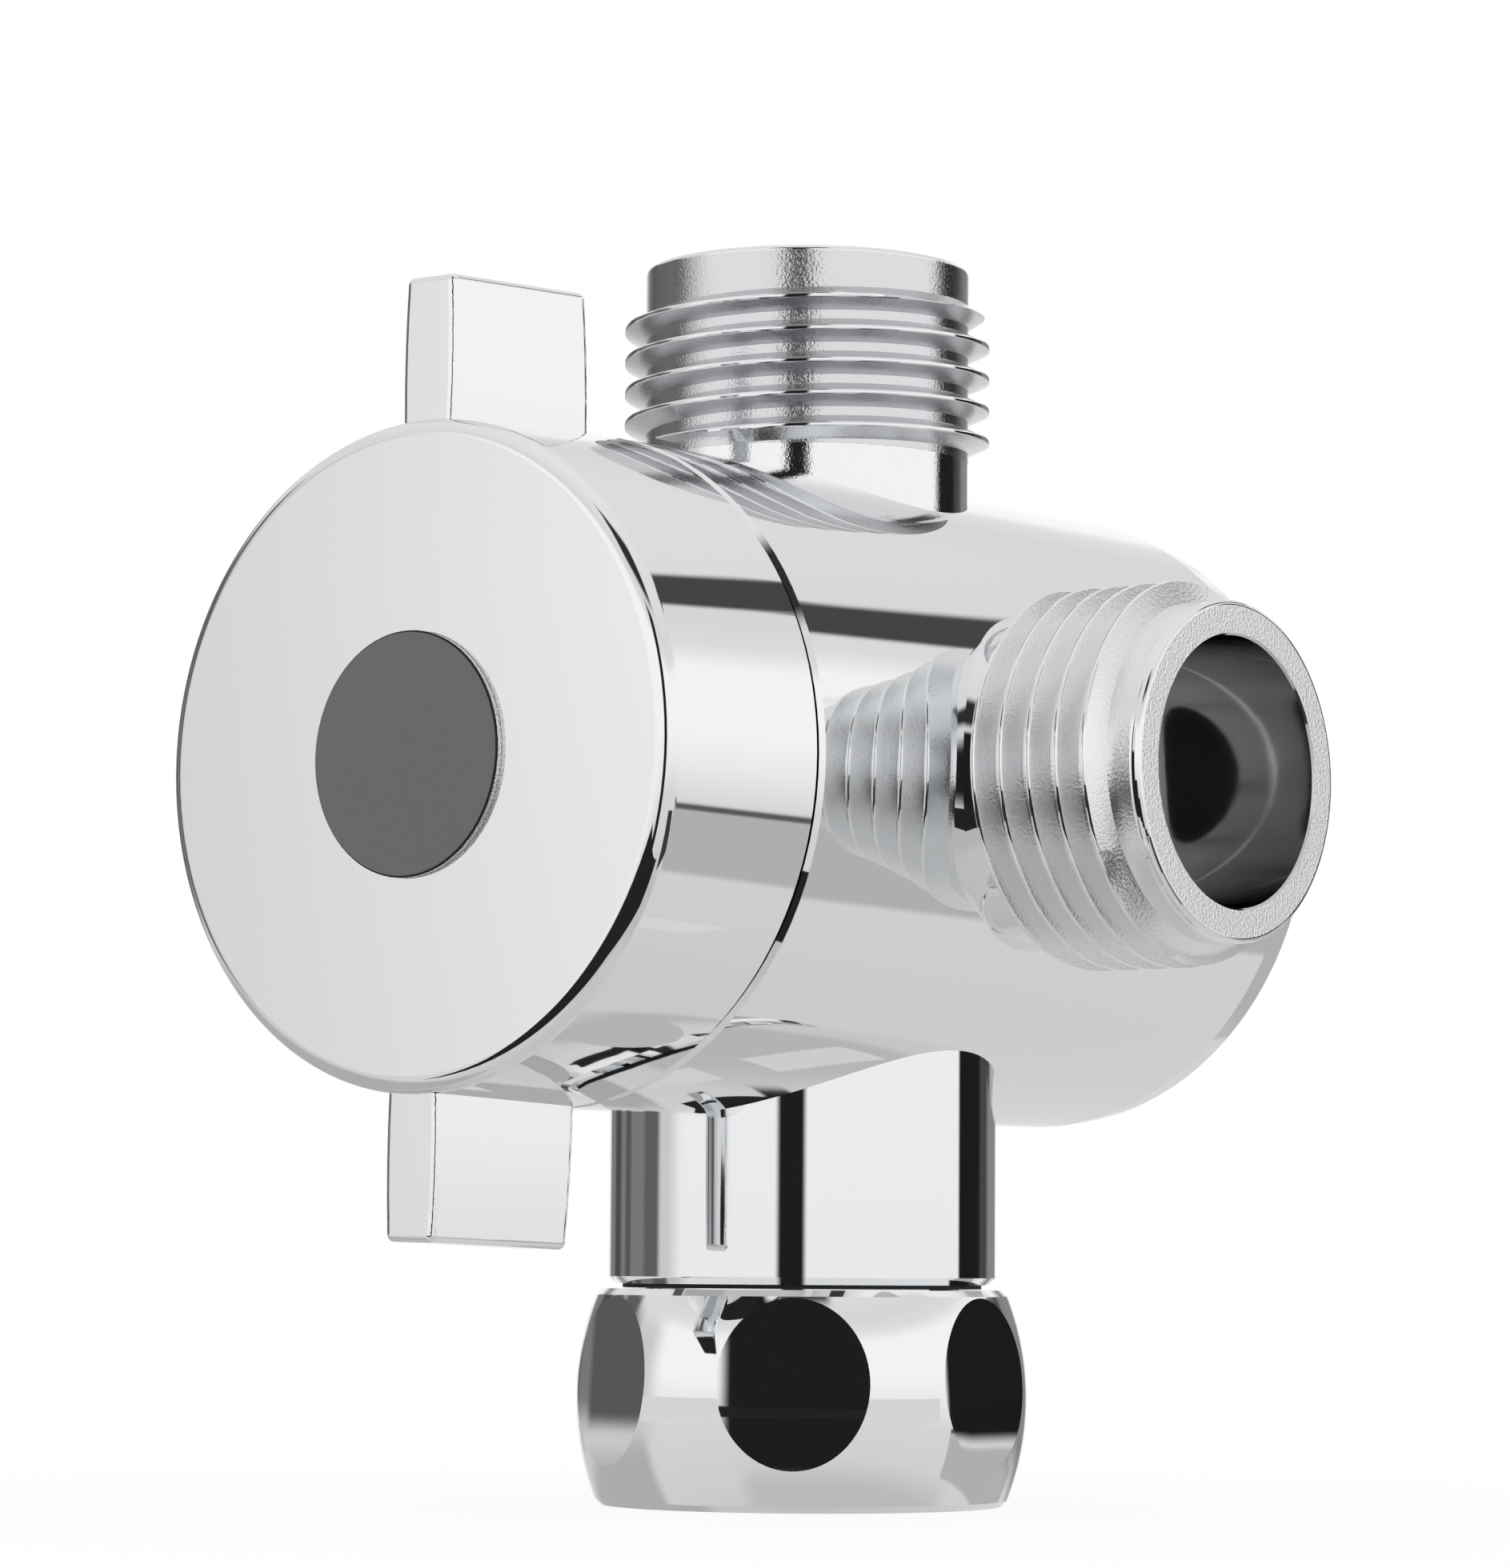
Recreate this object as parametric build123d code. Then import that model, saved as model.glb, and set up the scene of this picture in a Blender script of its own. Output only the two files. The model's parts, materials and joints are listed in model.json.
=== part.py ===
from build123d import *
from math import asin, atan, cos, degrees, radians, sin
import os

# Shower diverter valve: a brass tee body with a quarter-turn rotor behind a winged cap handle.
# Millimetres, +Z up. The origin is the centre of the inlet nut's mouth. The inlet and the top
# outlet share the Z axis, the body and its handle turn about a line along Y through the
# junction, with the handle towards -Y, and the side outlet points along +X.

# Clearances
RUN = 0.05            # radial clearance of a turning or sliding fit
FIT = 0.03            # radial clearance of a pressed, screwed or sealed fit
PIN_FIT = 0.01        # radial clearance of the stop pin in its hole
END_PLAY = 0.05       # axial clearance of the rotor at each end
SEAM = 0.25           # open line between the handle's skirt and the body
PASS = 0.15           # radial clearance of a screw's shank or head
REACH = 1.0           # how far a cut or a hidden root runs past the surface it meets

# Half-inch pipe thread, drawn at its major and minor diameters
THREAD_MAJOR_R = 20.955 / 2
THREAD_MINOR_R = 18.631 / 2

# Spring-loaded seal carried by the rotor, worked out from the waterway that it covers
CHAMBER_R = 12.0
PORT_R = 3.7          # waterway from the chamber into each outlet
PAD_LAP = 1.5         # how far the pad reaches past the waterway's edge
PAD_THICKNESS = 3.4
PAD_OVERHANG = 0.6    # how far the pad stands out past the plunger
PLUNGER_LENGTH = 3.0
PLUNGER_NOSE = 1.1    # spigot that the pad is pressed on
PLUNGER_NOSE_STEP = 1.25
PLUNGER_WEB = 1.1     # wall between the spring's hole and the nose
SPRING_ROOM = 1.7     # free height behind the plunger
SPRING_R = 2.0
SPRING_WIRE_R = 0.25
SPRING_PASS = 0.35
SPRING_TURNS = 3.25
BOSS_WALL = 1.0
BOSS_SET_BACK = 0.2   # the boss ends this far behind the pad

# Rotor, along Y
DISC_GAP = 1.5        # room between the seal's boss and each disc
ROTOR_FRONT_DISC = 2.5
ROTOR_REAR_DISC = 1.8
ROTOR_CORE_R = 4.2
JOURNAL_R = 3.5
JOURNAL_LENGTH = 4.4
O_RING_WIRE_R = 0.62
O_RING_GROOVE = 1.6
O_RING_SET_BACK = 2.25
O_RING_SPACING = 3.4
CLIP_GROOVE_DEPTH = 0.65
CLIP_WIDTH = 1.27
CLIP_THICKNESS = 0.7
CLIP_GAP = 3.4
CLIP_EAR_R = 1.25
CLIP_EAR_HOLE_R = 0.5
CLIP_EAR_LAP = 0.35   # how far an ear runs into the open gap
CLIP_LAND = 0.6       # plain end of the stem in front of the clip
SPLINE_LENGTH = 4.1
SPLINE_STEP = 1.0     # the splined end is this much smaller than the stem
SPLINE_TOOTH = 0.5
SPLINE_TEETH = 16

# Bonnet nut, thrust washer and rear bush that guide the rotor
BONNET_SHOULDER = 2.0
BONNET_THREAD_LENGTH = 7.6
BONNET_SPIGOT = 1.45
BONNET_HEX_STEP = 3.5
BONNET_HEX_LENGTH = 2.8
BONNET_RING_WIRE_R = 0.78
BONNET_RECESS = 1.8   # the screwed part lies this far inside the body's mouth
THRUST_THICKNESS = 0.85
THRUST_WIDTH = 2.3    # from the bonnet's bore to the thrust washer's rim
THRUST_LAND = 0.8     # room between the thrust washer and the stop pin
BUSH_WALL = 1.42
BUSH_FLANGE = 0.8
BUSH_FLANGE_STEP = 2.0
BUSH_END_GAP = 0.1
REAR_BORE_SPARE = 0.2

# Stop pin in the bonnet and its arc slot in the rotor
TURN = 90.0
STOP_PIN_R = 1.0
STOP_LAND = 1.9       # wall outside the slot
STOP_PIN_SEAT = 4.0
STOP_SLOT_DEPTH = 1.5
STOP_TIP_GAP = 0.2
STOP_ANGLE = 180.0

# Valve body
BODY_R = 18.25
REAR_WALL = 10.45     # solid end behind the journal's bore
BODY_EDGE_BAND = 2.1  # length of the slightly tapered band at the closed end
BODY_EDGE_TAPER = 0.2
BODY_EDGE_ROUND = 0.4
BODY_BEVEL = 0.25

# Outlets: neck, thread and collar above the body's surface, with a bore that stops at a web
OUTLET_WALL = 1.9
OUTLET_WEB = 2.3
COLLAR_STEP = 0.07    # the collar is this much smaller than the thread's root
RIM_BREAK = 0.25      # small bevel on a turned rim
TOP_REACH = 12.01
TOP_NECK = 0.85
TOP_COLLAR = 1.76
SIDE_REACH = 11.49
SIDE_NECK = 0.65
SIDE_COLLAR = 1.64

# Inlet neck, its tail inside the nut, the wire ring and the sealing washer
INLET_PORT_R = 5.0
INLET_WEB = 4.0
NECK_STEP = 2.03      # the neck is this much larger than its tail
NECK_DROP = 9.37      # length of the neck below the body's lowest line
NECK_BEVEL = 0.4
TAIL_GAP = 0.4        # room between the tail and the nut's thread
TAIL_WALL = 2.4
TAIL_LIP = 1.25       # tail below the ring
RING_WIRE_R = 0.6
RING_BITE = 0.35      # how deep the ring sits in the tail's groove
RING_ROOM = 0.71      # room outside the ring, in the nut's relief
RING_SPLIT = 2.0
WASHER_THICKNESS = 1.8
WASHER_GAP = 0.1
WASHER_LAP = 0.5      # how far the washer reaches into the waterway

# Swivel nut: barrel outline with leaning spanner flats
NUT_GAP = 0.28        # open line between the neck's foot and the nut
NUT_LENGTH = 12.10
NUT_WALL = 1.17       # wall outside the relief at the rims
NUT_BULGE = 1.07
NUT_RIM_ROUND = 0.35
NUT_ROOF = 2.0        # thickness of the inward lip that hangs on the ring
NUT_THREAD_GAP = 0.2  # the thread stops this far below the washer
NUT_FLAT_DEPTH = 0.69
NUT_FLAT_DRAFT = 3.6  # degrees, the flats lean out towards the mouth
NUT_FLAT_TURN = 36.4  # degrees, from -Y towards +X, of the first flat
NUT_FLAT_COUNT = 6
GLIDE_SET_BACK = 0.8  # the glide ring's rim lies this far inside the neck

# Handle: a cap with two wings, its hub, screw and index button
HANDLE_ROUND = 1.0
HANDLE_DRAFT = 0.5    # the cap is this much smaller in radius at its face
HANDLE_SKIRT = 1.95
HANDLE_FACE = 2.0
HUB_WALL = 2.95
HUB_WEB = 1.0         # wall between the spline's end and the screw's seat
WING_REACH = 7.21     # height of the front tip above the body's line
WING_TIP_RISE = 0.32
WING_HALF_FRONT = 1.8
WING_HALF_REAR = 2.14
WING_BOW = 0.17
WING_SET_BACK = 0.76
WING_ROOT_STEP = 0.15
WING_TIP_STEP = 0.45
WING_EDGE = 0.38
WING_LEAN = 0.85      # degrees towards +X, how the cap stands when the rotor is at its stop
BUTTON_R = 6.5
BUTTON_PROUD = 0.4
BUTTON_THICKNESS = 1.45
BUTTON_ROUND = 0.1
BUTTON_SKIRT = 0.4
BUTTON_SKIRT_LENGTH = 1.5
BUTTON_GAP = 0.5      # room between the button and the screw's head
SCREW_R = 2.0
SCREW_HEAD_R = 3.6
SCREW_HEAD = 2.1
SCREW_LENGTH = 5.6
SCREW_HOLE_SPARE = 2.15
SCREW_RECESS = 0.9
SCREW_RECESS_DEPTH = 1.2
LOCK_WASHER_STEP = 0.1
LOCK_WASHER = 0.75
LOCK_WASHER_SPLIT = 0.5

# Radii worked out from the sizes above
PAD_R = PORT_R + PAD_LAP
POCKET_R = PAD_R - PAD_OVERHANG
BOSS_R = POCKET_R + BOSS_WALL
NOSE_R = POCKET_R - PLUNGER_NOSE_STEP
BONNET_BORE_R = CHAMBER_R + BONNET_SHOULDER
STOP_CIRCLE_R = CHAMBER_R - STOP_PIN_R - STOP_LAND
THRUST_R = STOP_CIRCLE_R - STOP_PIN_R - THRUST_LAND
STEM_R = THRUST_R - THRUST_WIDTH - RUN
REAR_BORE_R = JOURNAL_R + RUN + BUSH_WALL + FIT
CLIP_GROOVE_R = STEM_R - CLIP_GROOVE_DEPTH
SPLINE_TIP_R = STEM_R - SPLINE_STEP
HUB_R = SPLINE_TIP_R + HUB_WALL
SOCKET_R = SCREW_HEAD_R + PASS + BUTTON_SKIRT + FIT
COLLAR_R = THREAD_MINOR_R - COLLAR_STEP
OUTLET_BORE_R = COLLAR_R - OUTLET_WALL
TAIL_R = THREAD_MINOR_R - TAIL_GAP
NECK_R = TAIL_R + NECK_STEP
INLET_BORE_R = TAIL_R - TAIL_WALL
RELIEF_R = TAIL_R - RING_BITE + 2 * RING_WIRE_R + RING_ROOM
NUT_SHOULDER_R = RELIEF_R + NUT_WALL
NUT_BELLY_R = NUT_SHOULDER_R + NUT_BULGE

# Places along the body's axis, from the seal outwards
CORE_HALF = BOSS_R + DISC_GAP
DISC_FRONT_Y = -CORE_HALF - ROTOR_FRONT_DISC
ROTOR_REAR_Y = CORE_HALF + ROTOR_REAR_DISC
SPIGOT_Y = DISC_FRONT_Y - END_PLAY - THRUST_THICKNESS
CHAMBER_FRONT_Y = SPIGOT_Y - BONNET_SPIGOT
CHAMBER_REAR_Y = ROTOR_REAR_Y + END_PLAY + BUSH_FLANGE
REAR_BORE_END_Y = CHAMBER_REAR_Y + JOURNAL_LENGTH + REAR_BORE_SPARE
BODY_REAR_Y = REAR_BORE_END_Y + REAR_WALL
O_RING_REAR_Y = CHAMBER_FRONT_Y - O_RING_SET_BACK
O_RING_FRONT_Y = O_RING_REAR_Y - O_RING_SPACING
HEX_BACK_Y = CHAMBER_FRONT_Y - BONNET_THREAD_LENGTH
BODY_FRONT_Y = HEX_BACK_Y - BONNET_RECESS
BONNET_FRONT_Y = HEX_BACK_Y - BONNET_HEX_LENGTH
CLIP_BACK_Y = BONNET_FRONT_Y - END_PLAY
CLIP_FRONT_Y = CLIP_BACK_Y - CLIP_THICKNESS
SPLINE_BACK_Y = CLIP_FRONT_Y - CLIP_LAND
HUB_BACK_Y = SPLINE_BACK_Y - END_PLAY
STEM_END_Y = SPLINE_BACK_Y - SPLINE_LENGTH
SCREW_SEAT_Y = STEM_END_Y - HUB_WEB
SCREW_HEAD_BACK_Y = SCREW_SEAT_Y - LOCK_WASHER
SCREW_HEAD_FRONT_Y = SCREW_HEAD_BACK_Y - SCREW_HEAD
SCREW_TIP_Y = SCREW_HEAD_BACK_Y + SCREW_LENGTH
BUTTON_BACK_Y = SCREW_HEAD_FRONT_Y - BUTTON_GAP
BUTTON_FRONT_Y = BUTTON_BACK_Y - BUTTON_THICKNESS
HANDLE_FACE_Y = BUTTON_FRONT_Y + BUTTON_PROUD
HANDLE_REAR_Y = BODY_FRONT_Y - SEAM

# Distances from the junction along the seal, the outlets and the inlet
PAD_BACK = CHAMBER_R - PAD_THICKNESS
BOSS_END = PAD_BACK - BOSS_SET_BACK
PLUNGER_BACK = PAD_BACK - PLUNGER_LENGTH
POCKET_FLOOR = PLUNGER_BACK - SPRING_ROOM
SPRING_HOLE_END = PAD_BACK - PLUNGER_WEB
OUTLET_FLOOR = CHAMBER_R + OUTLET_WEB
INLET_BORE_TOP = CHAMBER_R + INLET_WEB
TOP_RIM = BODY_R + TOP_REACH
SIDE_RIM = BODY_R + SIDE_REACH
NECK_FOOT = BODY_R + NECK_DROP
NUT_TOP = NECK_FOOT + NUT_GAP
NUT_ROOF_BACK = NUT_TOP + NUT_ROOF
RING_CENTRE = NUT_ROOF_BACK + RUN + RING_WIRE_R
TAIL_END = RING_CENTRE + RING_WIRE_R + TAIL_LIP
WASHER_END = TAIL_END + WASHER_THICKNESS
NUT_MOUTH = NUT_TOP + NUT_LENGTH
NUT_MIDDLE = (NUT_TOP + NUT_MOUTH) / 2

JUNCTION = Pos(0, 0, NUT_MOUTH)


def turned_y(points):
    """Solid turned about the body's axis from (radius, y) points."""
    return JUNCTION * revolve(make_face(Polyline(*points, close=True)), axis=Axis.Y)


def turned_z(points):
    """Solid turned about the vertical axis from (radius, height above the junction) points."""
    outline = Polyline(*[(r, 0, z) for r, z in points], close=True)
    return JUNCTION * revolve(make_face(outline), axis=Axis.Z)


def turned_x(points):
    """Solid turned about the side outlet's axis from (x, radius) points."""
    return JUNCTION * revolve(make_face(Polyline(*points, close=True)), axis=Axis.X)


def ring_y(inner, outer, front, rear):
    """Plain ring about the body's axis."""
    return turned_y([(inner, front), (outer, front), (outer, rear), (inner, rear)])


def rod_y(radius, front, rear):
    """Plain rod on the body's axis."""
    return turned_y([(0, front), (radius, front), (radius, rear), (0, rear)])


def rod_x(radius, start, end):
    """Plain rod on the side outlet's axis."""
    return turned_x([(start, 0), (start, radius), (end, radius), (end, 0)])


def rod_z(radius, bottom, top):
    """Plain rod on the vertical axis, heights measured from the junction."""
    return turned_z([(0, bottom), (radius, bottom), (radius, top), (0, top)])


def o_ring_y(middle_r, wire_r, y):
    """O-ring about the body's axis."""
    wire = Pos(middle_r, y, 0) * Circle(wire_r)
    return JUNCTION * revolve(wire, axis=Axis.Y)


def outlet_points(neck, collar, rim):
    """Outline of an outlet as (radius, distance): neck, thread at its major size, collar."""
    lead = THREAD_MAJOR_R - COLLAR_R
    thread_start = BODY_R + neck
    thread_end = rim - collar
    return [
        (0, 0),
        (COLLAR_R, 0),
        (COLLAR_R, thread_start),
        (THREAD_MAJOR_R, thread_start + lead),
        (THREAD_MAJOR_R, thread_end - lead),
        (COLLAR_R, thread_end),
        (COLLAR_R, rim - RIM_BREAK),
        (COLLAR_R - RIM_BREAK, rim),
        (0, rim),
    ]


def body_shell():
    """Outer form of the body: barrel, two outlets, inlet neck and tail."""
    edge_r = BODY_R - BODY_EDGE_TAPER
    barrel = turned_y([
        (0, BODY_FRONT_Y),
        (BODY_R - BODY_BEVEL, BODY_FRONT_Y),
        (BODY_R, BODY_FRONT_Y + BODY_BEVEL),
        (BODY_R, BODY_REAR_Y - BODY_EDGE_BAND),
        (edge_r, BODY_REAR_Y - BODY_EDGE_ROUND),
        (edge_r - BODY_EDGE_ROUND, BODY_REAR_Y),
        (0, BODY_REAR_Y),
    ])
    top = turned_z(outlet_points(TOP_NECK, TOP_COLLAR, TOP_RIM))
    side_outline = outlet_points(SIDE_NECK, SIDE_COLLAR, SIDE_RIM)
    side = turned_x([(distance, radius) for radius, distance in side_outline])
    neck = turned_z([
        (0, 0),
        (NECK_R, 0),
        (NECK_R, NECK_BEVEL - NECK_FOOT),
        (NECK_R - NECK_BEVEL, -NECK_FOOT),
        (TAIL_R, -NECK_FOOT),
        (TAIL_R, RIM_BREAK - TAIL_END),
        (TAIL_R - RIM_BREAK, -TAIL_END),
        (0, -TAIL_END),
    ])
    return barrel + top + side + neck


def nut_ring_groove():
    """Groove round the tail that holds the nut's wire ring."""
    floor = TAIL_R - RING_BITE - FIT
    half = RING_WIRE_R + FIT
    return turned_z([
        (floor, -RING_CENTRE - half),
        (TAIL_R + REACH, -RING_CENTRE - half),
        (TAIL_R + REACH, -RING_CENTRE + half),
        (floor, -RING_CENTRE + half),
    ])


def valve_body():
    shell = body_shell()
    cuts = [
        rod_y(CHAMBER_R, CHAMBER_FRONT_Y, CHAMBER_REAR_Y),
        rod_y(BONNET_BORE_R, BODY_FRONT_Y, CHAMBER_FRONT_Y),
        rod_y(REAR_BORE_R, CHAMBER_REAR_Y, REAR_BORE_END_Y),
        rod_z(OUTLET_BORE_R, OUTLET_FLOOR, TOP_RIM),
        rod_x(OUTLET_BORE_R, OUTLET_FLOOR, SIDE_RIM),
        rod_z(PORT_R, 0, OUTLET_FLOOR),
        rod_x(PORT_R, 0, OUTLET_FLOOR),
        rod_z(INLET_PORT_R, -INLET_BORE_TOP, 0),
        rod_z(INLET_BORE_R, -TAIL_END, -INLET_BORE_TOP),
        nut_ring_groove(),
    ]
    for cut in cuts:
        shell -= cut
    return shell


def nut_outline():
    """Barrel outline of the swivel nut, with a rounded rim at both ends."""
    rim_r = NUT_SHOULDER_R - NUT_RIM_ROUND
    belly = ThreePointArc(
        (NUT_SHOULDER_R, 0, -NUT_TOP - NUT_RIM_ROUND),
        (NUT_BELLY_R, 0, -NUT_MIDDLE),
        (NUT_SHOULDER_R, 0, -NUT_MOUTH + NUT_RIM_ROUND),
    )
    sides = Polyline(
        (NUT_SHOULDER_R, 0, -NUT_MOUTH + NUT_RIM_ROUND),
        (rim_r, 0, -NUT_MOUTH),
        (0, 0, -NUT_MOUTH),
        (0, 0, -NUT_TOP),
        (rim_r, 0, -NUT_TOP),
        (NUT_SHOULDER_R, 0, -NUT_TOP - NUT_RIM_ROUND),
    )
    return make_face(belly.edges() + sides.edges())


def nut_flat(turn):
    """Block that mills one leaning spanner flat."""
    size = 4 * NUT_BELLY_R
    block = Pos(0, -size / 2, 0) * Box(size, size, size)
    face_y = NUT_FLAT_DEPTH - NUT_BELLY_R
    leaning = Pos(0, face_y, -NUT_MIDDLE) * Rot(-NUT_FLAT_DRAFT, 0, 0) * block
    return JUNCTION * Rot(0, 0, turn) * leaning


def swivel_nut():
    """Barrel nut: threaded mouth, relief round the washer and ring, and an inward roof."""
    barrel = JUNCTION * revolve(nut_outline(), axis=Axis.Z)
    for k in range(NUT_FLAT_COUNT):
        barrel -= nut_flat(NUT_FLAT_TURN + k * 360 / NUT_FLAT_COUNT)
    thread_end = WASHER_END + NUT_THREAD_GAP
    lead = RELIEF_R - THREAD_MINOR_R
    bore = turned_z([
        (0, -NUT_MOUTH),
        (THREAD_MINOR_R, -NUT_MOUTH),
        (THREAD_MINOR_R, -thread_end),
        (RELIEF_R, lead - thread_end),
        (RELIEF_R, -NUT_ROOF_BACK),
        (TAIL_R + RUN, -NUT_ROOF_BACK),
        (TAIL_R + RUN, -NUT_TOP),
        (0, -NUT_TOP),
    ])
    return barrel - bore


def nut_ring():
    """Split wire ring that holds the nut on the tail."""
    middle_r = TAIL_R - RING_BITE + RING_WIRE_R
    wire = Plane.XZ * Pos(middle_r, -RING_CENTRE) * Circle(RING_WIRE_R)
    ring = revolve(wire, axis=Axis.Z, revolution_arc=360 - degrees(RING_SPLIT / middle_r))
    return JUNCTION * ring


def glide_ring():
    """Thin ring under the neck's foot that the swivel nut glides on."""
    outer = NECK_R - GLIDE_SET_BACK
    foot = NECK_FOOT + NUT_GAP - RUN
    return turned_z([(TAIL_R + FIT, -foot), (outer, -foot), (outer, -NECK_FOOT), (TAIL_R + FIT, -NECK_FOOT)])


def inlet_washer():
    """Flat rubber washer between the tail and the pipe."""
    inner = INLET_BORE_R - WASHER_LAP
    outer = THREAD_MINOR_R - WASHER_GAP
    return turned_z([(inner, -WASHER_END), (outer, -WASHER_END), (outer, -TAIL_END), (inner, -TAIL_END)])


def rear_bush():
    """Flanged bearing of the rotor's journal in the closed end."""
    flange_y = CHAMBER_REAR_Y - BUSH_FLANGE
    flange_r = REAR_BORE_R + BUSH_FLANGE_STEP
    end_y = REAR_BORE_END_Y - BUSH_END_GAP
    return turned_y([
        (JOURNAL_R + RUN, flange_y),
        (flange_r, flange_y),
        (flange_r, CHAMBER_REAR_Y),
        (REAR_BORE_R - FIT, CHAMBER_REAR_Y),
        (REAR_BORE_R - FIT, end_y),
        (JOURNAL_R + RUN, end_y),
    ])


def spline_prism(clearance, front, rear):
    """Splined prism on the body's axis, grown by the clearance."""
    tip = SPLINE_TIP_R + clearance
    root = SPLINE_TIP_R - SPLINE_TOOTH + clearance
    step = 360 / SPLINE_TEETH
    points = []
    for k in range(SPLINE_TEETH):
        for radius, share in ((root, 0.0), (root, 0.3), (tip, 0.45), (tip, 0.85)):
            angle = radians((k + share) * step)
            points.append((radius * cos(angle), radius * sin(angle)))
    outline = make_face(Polyline(*points, close=True))
    prism = extrude(Plane.XZ * outline, amount=rear - front)
    return JUNCTION * Pos(0, rear, 0) * prism


def stop_slot():
    """Arc slot in the rotor's front disc that the stop pin runs in."""
    half_pin = degrees(asin((STOP_PIN_R + RUN) / STOP_CIRCLE_R))
    span = TURN + 2 * half_pin
    inner = STOP_CIRCLE_R - STOP_PIN_R - 2 * RUN
    outer = STOP_CIRCLE_R + STOP_PIN_R + 2 * RUN
    bottom = DISC_FRONT_Y + STOP_SLOT_DEPTH
    section = make_face(Polyline(
        (inner, DISC_FRONT_Y - REACH),
        (outer, DISC_FRONT_Y - REACH),
        (outer, bottom),
        (inner, bottom),
        close=True,
    ))
    arc = revolve(section, axis=Axis.Y, revolution_arc=span)
    # A turn about +Y carries +X towards -Z, so an angle from +X towards +Z is a negative turn.
    return JUNCTION * Rot(0, -STOP_ANGLE - half_pin, 0) * arc


def rotor():
    """One-piece rotor: journal, two discs, core, seal boss, stem and splined end."""
    disc_r = CHAMBER_R - RUN
    solid = turned_y([
        (0, SPLINE_BACK_Y),
        (STEM_R, SPLINE_BACK_Y),
        (STEM_R, DISC_FRONT_Y),
        (disc_r, DISC_FRONT_Y),
        (disc_r, -CORE_HALF),
        (ROTOR_CORE_R, -CORE_HALF),
        (ROTOR_CORE_R, CORE_HALF),
        (disc_r, CORE_HALF),
        (disc_r, ROTOR_REAR_Y),
        (JOURNAL_R, ROTOR_REAR_Y),
        (JOURNAL_R, ROTOR_REAR_Y + JOURNAL_LENGTH),
        (0, ROTOR_REAR_Y + JOURNAL_LENGTH),
    ])
    solid += rod_x(BOSS_R, 0, BOSS_END)
    solid += spline_prism(0, STEM_END_Y, SPLINE_BACK_Y)
    solid -= rod_x(POCKET_R, POCKET_FLOOR, BOSS_END)
    groove_r = STEM_R - 2 * O_RING_WIRE_R
    half = O_RING_GROOVE / 2
    for middle in (O_RING_FRONT_Y, O_RING_REAR_Y):
        solid -= ring_y(groove_r, STEM_R + REACH, middle - half, middle + half)
    solid -= ring_y(CLIP_GROOVE_R, STEM_R + REACH, CLIP_FRONT_Y - FIT, CLIP_BACK_Y + FIT)
    solid -= rod_y(SCREW_R + FIT, STEM_END_Y, SCREW_TIP_Y + SCREW_HOLE_SPARE)
    solid -= stop_slot()
    return solid


def seal_plunger():
    """Piston that slides in the rotor's pocket and carries the rubber pad."""
    solid = rod_x(POCKET_R - RUN, PLUNGER_BACK, PAD_BACK)
    solid += rod_x(NOSE_R, PAD_BACK, PAD_BACK + PLUNGER_NOSE)
    return solid - rod_x(SPRING_R + SPRING_WIRE_R + SPRING_PASS, PLUNGER_BACK, SPRING_HOLE_END)


def seal_pad():
    """Rubber pad whose face follows the chamber's wall."""
    pad = rod_x(PAD_R, PAD_BACK, CHAMBER_R)
    wall = rod_y(CHAMBER_R - RUN, -PAD_R - REACH, PAD_R + REACH)
    return (pad & wall) - rod_x(NOSE_R + FIT, PAD_BACK, PAD_BACK + PLUNGER_NOSE + FIT)


def seal_spring():
    """Coil spring between the pocket's floor and the plunger."""
    start = POCKET_FLOOR + SPRING_WIRE_R
    height = SPRING_HOLE_END - SPRING_WIRE_R - start
    coil = Helix(pitch=height / SPRING_TURNS, height=height, radius=SPRING_R)
    wire = sweep(Plane(coil @ 0, z_dir=coil % 0) * Circle(SPRING_WIRE_R), path=coil)
    return JUNCTION * Pos(start, 0, 0) * Rot(0, 90, 0) * wire


def stem_o_ring(y):
    return o_ring_y(STEM_R - O_RING_WIRE_R + FIT, O_RING_WIRE_R, y)


def bonnet_nut():
    """Screwed plug with a hexagon, bored for the stem."""
    bore_r = STEM_R + RUN
    thread_r = BONNET_BORE_R - FIT
    hex_r = BONNET_BORE_R - BONNET_HEX_STEP
    plug = turned_y([
        (bore_r, HEX_BACK_Y),
        (thread_r, HEX_BACK_Y),
        (thread_r, CHAMBER_FRONT_Y),
        (CHAMBER_R - RUN, CHAMBER_FRONT_Y),
        (CHAMBER_R - RUN, SPIGOT_Y),
        (bore_r, SPIGOT_Y),
    ])
    hexagon = RegularPolygon(hex_r, 6, major_radius=False) - Circle(bore_r)
    head = extrude(Plane.XZ * hexagon, amount=BONNET_HEX_LENGTH)
    plug += JUNCTION * Pos(0, HEX_BACK_Y, 0) * head
    seat = 2 * BONNET_RING_WIRE_R + FIT
    plug -= ring_y(BONNET_BORE_R - seat, BONNET_BORE_R, CHAMBER_FRONT_Y - seat, CHAMBER_FRONT_Y)
    plug -= stop_pin_rod(STOP_PIN_R + PIN_FIT, SPIGOT_Y)
    return plug


def bonnet_o_ring():
    middle_r = BONNET_BORE_R - BONNET_RING_WIRE_R - FIT / 2
    return o_ring_y(middle_r, BONNET_RING_WIRE_R, CHAMBER_FRONT_Y - BONNET_RING_WIRE_R)


def stop_pin_rod(radius, rear):
    """Rod on the stop pin's line, from its seat in the bonnet back to the given place."""
    angle = radians(STOP_ANGLE)
    place = Pos(STOP_CIRCLE_R * cos(angle), rear, STOP_CIRCLE_R * sin(angle))
    length = rear - SPIGOT_Y + STOP_PIN_SEAT
    return JUNCTION * place * extrude(Plane.XZ * Circle(radius), amount=length)


def stop_pin():
    return stop_pin_rod(STOP_PIN_R, DISC_FRONT_Y + STOP_SLOT_DEPTH - STOP_TIP_GAP)


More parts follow.
